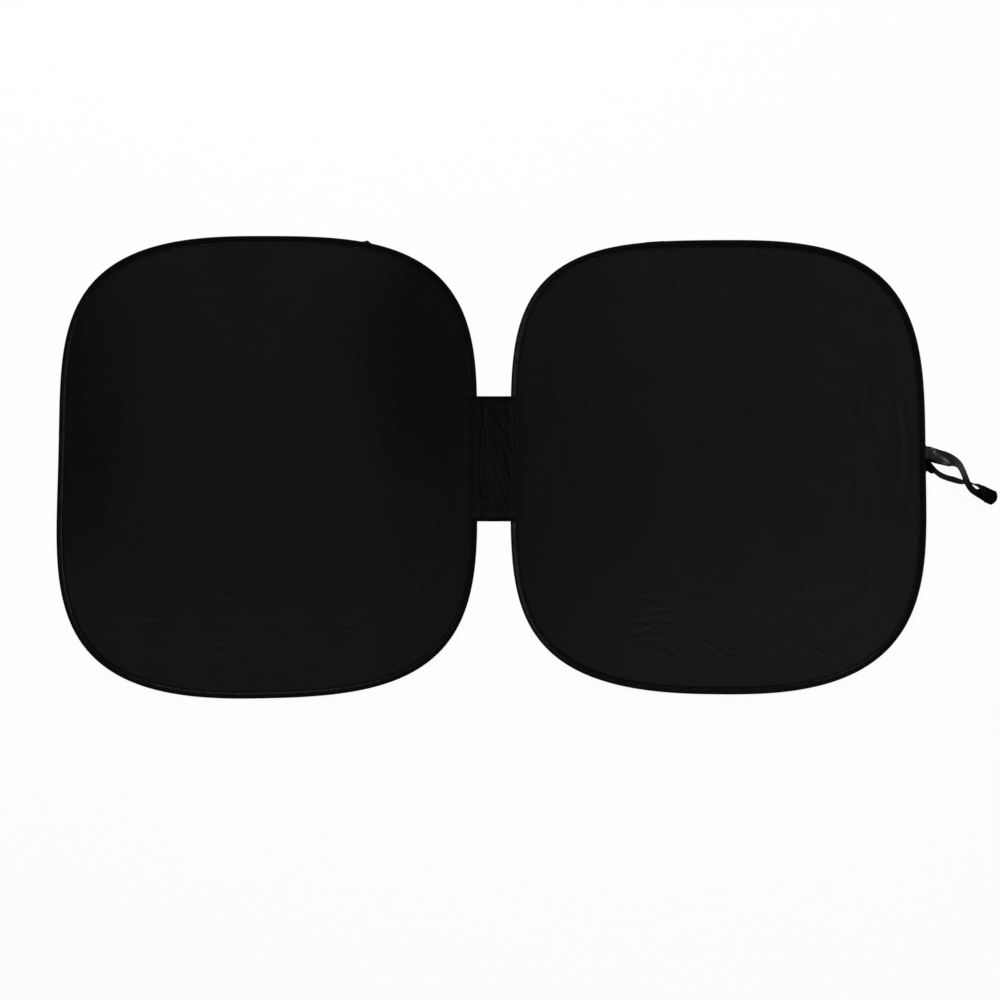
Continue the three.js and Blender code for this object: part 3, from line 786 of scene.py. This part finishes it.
def bridge_under(x):
    """Height of the bridge's underside across its width."""
    away = np.abs(x)
    slack = CREST_Z * eased((away - SLACK_X) / (CREST_X - SLACK_X))
    fall = np.clip((away - CREST_END_X) / SHOULDER_RUN, 0, 1)
    over = CREST_Z + (LIP_Z - CREST_Z) * fall
    return np.where(away < CREST_END_X, slack, over)


def bridge_relief(x, y):
    total = np.zeros(np.broadcast(x, y).shape)
    for points, height, width in BRIDGE_FOLDS:
        total = total + ridge(x, y, points, height, width)
    total = total + scattered(x, y, (-30, 32, -98, 98), 120, -72, 30, 0.55, 1.7, 41)
    return total * eased((38 - np.abs(x)) / 7) * eased((103 - np.abs(y)) / 7)


def hem_rise(y):
    """How far the cloth climbs to the middle of each hem."""
    return np.clip((np.abs(y) - HEM_CLIMB_FROM) / HEM_CLIMB_RUN, 0, 1) * HEM_CLIMB


def bridge_cloth():
    half = BRIDGE_HALF - BRIDGE_IN_HEM
    down = np.linspace(-half, half, BRIDGE_ROWS)
    over = np.linspace(BRIDGE_LEFT, BRIDGE_RIGHT, BRIDGE_COLUMNS)
    y, x = np.meshgrid(down, over, indexing="ij")
    under = np.maximum(bridge_under(x) + bridge_relief(x, y), 0) + hem_rise(y)
    shape = sheeted(np.stack([x, y, under + BRIDGE_THICKNESS], 2), BRIDGE_THICKNESS)
    return made_piece("bridge_sheet", shape, SLACK_CLOTH, "panel_cloth", "bridge_cloth")


def hem_tape(name, node, side):
    """A tape folded over the bridge's edge, with a rounded fold."""
    inside = HEM_THICKNESS + HEM_SLACK + HEM_CLOTH + HEM_SLACK
    top = inside + HEM_THICKNESS
    half = top / 2
    quarter = math.pi / 2
    fold = [
        (HEM_FOLD - HEM_FOLD * math.cos(angle), half + half * math.sin(angle))
        for angle in np.linspace(quarter, -quarter, 9)
    ]
    back = [
        (HEM_THICKNESS + 0.5 - 0.5 * math.cos(angle), half + (half - HEM_THICKNESS) * math.sin(angle))
        for angle in np.linspace(-quarter, quarter, 7)
    ]
    lower = [(2.5, 0.0), (4.6, 0.02), (6.6, 0.0), (7.0, 0.15), (6.9, 0.4), (4.6, 0.5)]
    upper = [
        (4.6, inside - 0.05), (6.9, inside + 0.05), (7.0, top - 0.15), (6.6, top),
        (5.6, top - 0.12), (4.6, top - 0.02), (2.5, top),
    ]
    section = np.array(fold + lower + back + upper)
    x = np.linspace(BRIDGE_LEFT - 0.3, HEM_RIGHT, 120)
    wave = 0.25 * np.sin(x / 4.1 + side) + 0.15 * np.sin(x / 2.3)
    inward = section[:, 0][None, :]
    across = inward + np.clip((inward - 4) / 3, 0, 1) * wave[:, None]
    z = bridge_under(x)[:, None] + section[:, 1][None, :]
    y = side * (BRIDGE_HALF - across)
    rings = np.stack([np.broadcast_to(x[:, None], y.shape), y, z], 2)
    return made_piece(name, swept(rings, False), HEM, "binding_tape", node)


bridge = bridge_cloth()
hems = [
    hem_tape("bridge_top_hem_tape", "bridge_top_hem", 1),
    hem_tape("bridge_bottom_hem_tape", "bridge_bottom_hem", -1),
]

# Elastic loop: its route's places, x from the right binding's outer edge, and the way its
# width points there; the tip is rounded by drawing its two edges back
BAND_WIDTH = 25
BAND_THICKNESS = 1.0
BAND_STEPS = 480
BAND_ROUTE = [
    ((-10.95, 12.9, 1.05), (0, 1, 0)), ((-6.5, 12.9, 1.05), (0, 1, 0)), ((-3, 12.9, 0.68), (0, 1, 0)),
    ((0.6, 12.6, 0.7), (0, 1, 0)), ((5, 12, 0.8), (0.05, 1, 0)), ((11, 7.7, 1.2), (0.22, 0.97, -0.03)),
    ((18, 4.6, 3.4), (0.24, 0.96, -0.12)), ((30, 1.6, 5.6), (0.25, 0.94, -0.24)),
    ((42, -2.2, 8.4), (0.26, 0.82, -0.5)), ((50.6, -5.8, 10.3), (0.33, 0.57, -0.75)),
    ((58.5, -12.4, 11.8), (0.37, 0.3, -0.88)), ((64.4, -23.5, 12.1), (0.39, 0.18, -0.9)),
    ((69, -35.5, 12.1), (0.41, 0.16, -0.9)), ((72.8, -44.1, 12.1), (0.39, 0.21, -0.9)),
    ((78.6, -52.4, 12), (0.34, 0.31, -0.89)), ((86.4, -58.3, 11.8), (0.25, 0.4, -0.88)),
    ((95.4, -61.2, 9.4), (0.22, 0.68, -0.68)), ((103.5, -62.8, 5.6), (0.3, 0.88, -0.34)),
    ((111, -65.6, 2.6), (0.35, 0.93, -0.1)), ((118.3, -68.6, 1.4), (0.37, 0.93, 0)),
    ((122, -70, 3.3), (0.37, 0.93, 0.02)), ((118.3, -68.3, 5.4), (0.37, 0.93, 0)),
    ((111.5, -65.3, 8.4), (0.38, 0.91, -0.14)), ((104.8, -61, 13.4), (0.38, 0.76, -0.5)),
    ((97, -54.3, 20.6), (0.25, 0.36, -0.9)), ((88.4, -47.8, 28.3), (0.06, 0.14, -0.99)),
    ((77.6, -43.4, 33.8), (-0.02, -0.04, -1)), ((68, -41.2, 37), (-0.04, -0.2, -0.98)),
    ((59.5, -39.2, 36.2), (-0.06, -0.28, -0.96)), ((50, -36.8, 31.5), (-0.09, -0.32, -0.94)),
    ((37.6, -33.4, 23.5), (-0.11, -0.28, -0.95)), ((25, -28, 16.6), (-0.14, -0.28, -0.95)),
    ((16.6, -21.9, 13.2), (-0.16, -0.27, -0.95)), ((12, -18.2, 12.4), (-0.14, -0.42, -0.9)),
    ((8, -15.4, 8.9), (-0.05, -0.82, -0.56)), ((4, -13.3, 4.3), (0, -0.97, -0.22)),
    ((0.8, -12.4, 1.2), (0, -1, 0)), ((-3, -12.4, 0.9), (0, -1, 0)), ((-6.5, -13.9, 1.05), (0, -1, 0)),
    ((-10.95, -13.9, 1.05), (0, -1, 0)),
]
TIP_POINT = 20
TIP_SPAN = 5
TIP_ROUNDING = 6.5
TIP_BACK = np.array([-0.93, 0.37, 0])

# Points across the band, the height that its upper strand arches, the part of its run that this
# strand is, how much the binding gathers it, and the lowest that it may lie
BAND_SAMPLES = 25
BAND_ARCH = 2.4
UPPER_STRAND_SHARE = 0.3
GATHER = 0.14
BAND_LOWEST = 0.02


def through(points, count):
    """A smooth curve through evenly timed points."""
    points = np.array(points, float)
    padded = np.vstack([2 * points[0] - points[1], points, 2 * points[-1] - points[-2]])
    share = np.linspace(0, len(points) - 1, count)
    i = np.minimum(share.astype(int), len(points) - 2)
    t = (share - i)[:, None]
    a, b, c, d = (padded[i + k] for k in range(4))
    second = 2 * a - 5 * b + 4 * c - d
    third = 3 * b - a - 3 * c + d
    return 0.5 * (2 * b + (c - a) * t + second * t**2 + third * t**3)


def unit(vectors):
    return vectors / np.linalg.norm(vectors, axis=1)[:, None]


def elastic_band():
    line = through([place for place, _ in BAND_ROUTE], BAND_STEPS) + [RIGHT_EDGE, 0, 0]
    width = through([unit(np.array([way], float))[0] for _, way in BAND_ROUTE], BAND_STEPS)
    run = unit(np.gradient(line, axis=0))
    width = unit(width - run * np.sum(width * run, axis=1)[:, None])
    face = unit(np.cross(run, width))
    from_tip = np.abs(np.linspace(0, len(BAND_ROUTE) - 1, len(line)) - TIP_POINT) / TIP_SPAN
    drawn = TIP_ROUNDING * eased(1 - from_tip)
    half = BAND_WIDTH / 2
    thin = BAND_THICKNESS / 2
    across = np.linspace(-half + 0.35, half - 0.35, BAND_SAMPLES)
    top = [(place, thin) for place in across[::-1]]
    round_left = [(-half + 0.12, 0.3), (-half, 0.0), (-half + 0.12, -0.3)]
    bottom = [(place, -thin) for place in across]
    round_right = [(half - 0.12, -0.3), (half, 0.0), (half - 0.12, 0.3)]
    section = np.array(top + round_left + bottom + round_right)
    from_edge = line[:, 0] - RIGHT_EDGE
    gathered = 1 - GATHER * np.exp(-(((from_edge - 3) / 5) ** 2))
    upper_strand = np.arange(len(line)) < len(line) * UPPER_STRAND_SHARE
    arch = BAND_ARCH * upper_strand * eased((from_edge - 4) / 10) * eased((58 - from_edge) / 16)
    share = (section[:, 0] / half) ** 2
    height = section[None, :, 1] + arch[:, None] * (0.35 - share[None, :])
    out = gathered[:, None] * (section[None, :, 0] + half) - half
    rings = line[:, None, :] + out[..., None] * width[:, None, :]
    rings += height[..., None] * face[:, None, :]
    rings += drawn[:, None, None] * share[None, :, None] * TIP_BACK
    rings[..., 2] = np.maximum(rings[..., 2], BAND_LOWEST)
    shape = swept(rings, False)
    return made_piece("elastic_band", shape, ELASTIC, "elastic_band", "elastic_loop", sharp=70)


elastic_band()


# Stitches: one small thread shape set along every seam by a node tree. The first group of
# lengths is in metres, because the tree works in metres.
STITCH_PITCH = 0.0036
STITCH_LENGTH = 0.0026
THREAD_THICKNESS = 0.0005
STITCH_SHORTEST = 0.88
STITCH_LONGEST = 1.1

# Seam lines: how many points, and where the thread runs in millimetres
HOOP_SEAM_POINTS = 900
HEM_SEAM_POINTS = 80
END_SEAM_POINTS = 60
LIP_SEAM_Z = 0.98
HEM_SEAM_IN = 5.6
HEM_SEAM_Z = 2.0
HEM_SEAM_LOWEST = 0.26


def stitch_tree():
    tree = bpy.data.node_groups.new("stitches_along_a_seam", "GeometryNodeTree")
    face = tree.interface
    face.new_socket(name="Seam", in_out="INPUT", socket_type="NodeSocketGeometry")
    face.new_socket(name="Pitch", in_out="INPUT", socket_type="NodeSocketFloat")
    face.new_socket(name="Stitch length", in_out="INPUT", socket_type="NodeSocketFloat")
    face.new_socket(name="Thread thickness", in_out="INPUT", socket_type="NodeSocketFloat")
    face.new_socket(name="Seed", in_out="INPUT", socket_type="NodeSocketInt")
    face.new_socket(name="Thread", in_out="INPUT", socket_type="NodeSocketMaterial")
    face.new_socket(name="Stitches", in_out="OUTPUT", socket_type="NodeSocketGeometry")
    nodes = tree.nodes
    start = nodes.new("NodeGroupInput")
    end = nodes.new("NodeGroupOutput")

    def link(source, target):
        tree.links.new(source, target)

    curve = nodes.new("GeometryNodeMeshToCurve")
    link(start.outputs["Seam"], curve.inputs[0])
    spaced = nodes.new("GeometryNodeResampleCurve")
    spaced.mode = "LENGTH"
    link(curve.outputs[0], spaced.inputs["Curve"])
    link(start.outputs["Pitch"], spaced.inputs["Length"])
    run = nodes.new("GeometryNodeInputTangent")
    turned = nodes.new("FunctionNodeAlignRotationToVector")
    turned.axis = "X"
    link(run.outputs[0], turned.inputs["Vector"])
    uneven = nodes.new("FunctionNodeRandomValue")
    uneven.data_type = "FLOAT"
    uneven.inputs[2].default_value = STITCH_SHORTEST
    uneven.inputs[3].default_value = STITCH_LONGEST
    link(start.outputs["Seed"], uneven.inputs["Seed"])
    long = nodes.new("ShaderNodeMath")
    long.operation = "MULTIPLY"
    link(start.outputs["Stitch length"], long.inputs[0])
    link(uneven.outputs[1], long.inputs[1])
    size = nodes.new("ShaderNodeCombineXYZ")
    link(long.outputs[0], size.inputs[0])
    link(start.outputs["Thread thickness"], size.inputs[1])
    link(start.outputs["Thread thickness"], size.inputs[2])
    stitch = nodes.new("GeometryNodeMeshUVSphere")
    stitch.inputs["Segments"].default_value = 5
    stitch.inputs["Rings"].default_value = 4
    stitch.inputs["Radius"].default_value = 0.5
    placed = nodes.new("GeometryNodeInstanceOnPoints")
    link(spaced.outputs[0], placed.inputs["Points"])
    link(stitch.outputs["Mesh"], placed.inputs["Instance"])
    link(turned.outputs[0], placed.inputs["Rotation"])
    link(size.outputs[0], placed.inputs["Scale"])
    real = nodes.new("GeometryNodeRealizeInstances")
    link(placed.outputs[0], real.inputs[0])
    smooth = nodes.new("GeometryNodeSetShadeSmooth")
    link(real.outputs[0], smooth.inputs["Geometry"])
    coloured = nodes.new("GeometryNodeSetMaterial")
    link(smooth.outputs[0], coloured.inputs["Geometry"])
    link(start.outputs["Thread"], coloured.inputs["Material"])
    link(coloured.outputs[0], end.inputs[0])
    return tree


def seam_lines():
    """Lines of points that the thread follows, each with whether it closes on itself."""
    lines = []
    for hoop in (left_hoop, right_hoop):
        reach = np.linspace(0, hoop.length, HOOP_SEAM_POINTS, endpoint=False)
        place = hoop.at(reach, np.full(HOOP_SEAM_POINTS, SEAM_OUT))
        for side in (1, -1):
            z = np.full((HOOP_SEAM_POINTS, 1), HOOP_Z + side * LIP_SEAM_Z)
            lines.append((np.concatenate([place, z], 1), True))
    x = np.linspace(BRIDGE_LEFT + 0.5, HEM_RIGHT - 0.5, HEM_SEAM_POINTS)
    for side in (1, -1):
        y = np.full(HEM_SEAM_POINTS, side * (BRIDGE_HALF - HEM_SEAM_IN))
        lines.append((np.stack([x, y, bridge_under(x) + HEM_SEAM_Z], 1), False))
        under = np.maximum(bridge_under(x), HEM_SEAM_LOWEST)
        lines.append((np.stack([x, y, under], 1), False))
    y = np.linspace(-100, 100, END_SEAM_POINTS)
    for x in (BRIDGE_LEFT + 2, BRIDGE_RIGHT - 5):
        z = bridge_under(np.array([x]))[0] + 0.5
        line = np.stack([np.full(END_SEAM_POINTS, x), y, np.full(END_SEAM_POINTS, z)], 1)
        lines.append((line, False))
    return lines


def sew():
    points, edges = [], []
    for line, closed in seam_lines():
        first = len(points)
        points += (line * MM).tolist()
        edges += [(k, k + 1) for k in range(first, len(points) - 1)]
        if closed:
            edges.append((len(points) - 1, first))
    mesh = bpy.data.meshes.new("seam_lines")
    mesh.from_pydata(points, edges, [])
    seams = bpy.data.objects.new("seam_lines", mesh)
    bpy.context.scene.collection.objects.link(seams)
    tree = stitch_tree()
    modifier = seams.modifiers.new("stitches", "NODES")
    modifier.node_group = tree
    wanted = {
        "Pitch": STITCH_PITCH,
        "Stitch length": STITCH_LENGTH,
        "Thread thickness": THREAD_THICKNESS,
        "Seed": 4,
        "Thread": THREAD,
    }
    for item in tree.interface.items_tree:
        if item.name in wanted and item.in_out == "INPUT":
            modifier[item.identifier] = wanted[item.name]
    depsgraph = bpy.context.evaluated_depsgraph_get()
    stitches = bpy.data.meshes.new_from_object(seams.evaluated_get(depsgraph))
    seams.modifiers.remove(modifier)
    bpy.data.objects.remove(seams)
    stitches.name = "seam_stitches"
    piece = bpy.data.objects.new("seam_stitches", stitches)
    bpy.context.scene.collection.objects.link(piece)
    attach(piece, "root")


sew()

# The sealed steel parts keep their solids
for node, finish in (
    ("left_hoop_wire", STEEL), ("right_hoop_wire", STEEL),
    ("left_hoop_ferrule", PLATED), ("right_hoop_ferrule", PLATED),
):
    for material_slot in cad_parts[node].material_slots:
        material_slot.material = finish


# Studio: lengths from here on are in metres
FLOOR_HALF = 6.0
FLOOR_Z = -0.0004
PAPER = (0.82, 0.82, 0.82, 1)
WHITE_SHARE = 0.93
WORLD_LIGHT = 0.4


def studio_floor():
    """A white floor that stays white to the camera and keeps the shade's shadow."""
    made = Finish("studio_floor")
    to_camera = made.node("ShaderNodeLightPath", output="Is Camera Ray")
    to_gloss = made.node("ShaderNodeLightPath", output="Is Glossy Ray")
    to_glass = made.node("ShaderNodeLightPath", output="Is Transmission Ray")
    seen = (to_camera + to_gloss + to_glass).clamped()
    paper = made.node("ShaderNodeBsdfDiffuse", {}, {"Color": PAPER})
    white = made.node("ShaderNodeEmission", {}, {"Color": (1, 1, 1, 1), "Strength": 1.0})
    both = made.node("ShaderNodeMixShader", {}, {0: seen * WHITE_SHARE, 1: paper, 2: white})
    made.node("ShaderNodeOutputMaterial", {}, {"Surface": both})
    mesh = bpy.data.meshes.new("studio_floor")
    sides = ((-1, -1), (1, -1), (1, 1), (-1, 1))
    corners = [(FLOOR_HALF * x, FLOOR_HALF * y, FLOOR_Z) for x, y in sides]
    mesh.from_pydata(corners, [], [(0, 1, 2, 3)])
    mesh.materials.append(made.material)
    floor = bpy.data.objects.new("studio_floor", mesh)
    bpy.context.scene.collection.objects.link(floor)


def studio_world():
    """White surroundings that light the shade less than the camera sees of them."""
    world = bpy.data.worlds.new("studio_world")
    bpy.context.scene.world = world
    world.use_nodes = True
    nodes = world.node_tree.nodes
    links = world.node_tree.links
    nodes.clear()
    rays = nodes.new("ShaderNodeLightPath")
    seen = rays.outputs["Is Camera Ray"]
    for name in ("Is Glossy Ray", "Is Transmission Ray"):
        larger = nodes.new("ShaderNodeMath")
        larger.operation = "MAXIMUM"
        links.new(seen, larger.inputs[0])
        links.new(rays.outputs[name], larger.inputs[1])
        seen = larger.outputs[0]
    strength = nodes.new("ShaderNodeMapRange")
    strength.inputs["To Min"].default_value = WORLD_LIGHT
    strength.inputs["To Max"].default_value = 1.0
    links.new(seen, strength.inputs["Value"])
    sky = nodes.new("ShaderNodeBackground")
    links.new(strength.outputs[0], sky.inputs["Strength"])
    out = nodes.new("ShaderNodeOutputWorld")
    links.new(sky.outputs[0], out.inputs["Surface"])


def soft_lamp(name, place, aim, power, size):
    """A soft box of light: its place, where it is aimed, its power in watts and its size."""
    lamp = bpy.data.lights.new(name, "AREA")
    lamp.energy = power
    lamp.shape = "RECTANGLE"
    lamp.size, lamp.size_y = size
    holder = bpy.data.objects.new(name, lamp)
    bpy.context.scene.collection.objects.link(holder)
    holder.location = place
    way = np.array(place) - np.array(aim)
    level = math.hypot(way[0], way[1])
    holder.rotation_euler = (math.atan2(level, way[2]), 0, math.atan2(way[0], -way[1]))
    holder.visible_camera = False


studio_floor()
studio_world()
soft_lamp("soft_box_right", (1.7, 0.2, 3.8), (0.0, 0.0, 0.0), 46, (0.8, 0.8))
soft_lamp("soft_box_upper_left", (-2.2, 1.4, 2.8), (0.0, 0.0, 0.0), 26, (0.9, 0.9))
soft_lamp("strip_lamp_above", (-0.43, 2.15, 2.6), (0.5, 0.0, 0.0), 50, (0.5, 1.6))

# The photograph looks straight down at the shade, from well above it; the lens is in millimetres
CAMERA_PLACE = (0.0107, -0.0710, 20.0)
SENSOR_WIDTH = 36
LENS = 417.6
camera = bpy.data.cameras.new("camera")
camera.sensor_width = SENSOR_WIDTH
camera.lens = LENS
camera_holder = bpy.data.objects.new("camera", camera)
bpy.context.scene.collection.objects.link(camera_holder)
camera_holder.location = CAMERA_PLACE
bpy.context.scene.camera = camera_holder
bpy.context.scene.view_settings.view_transform = "Standard"
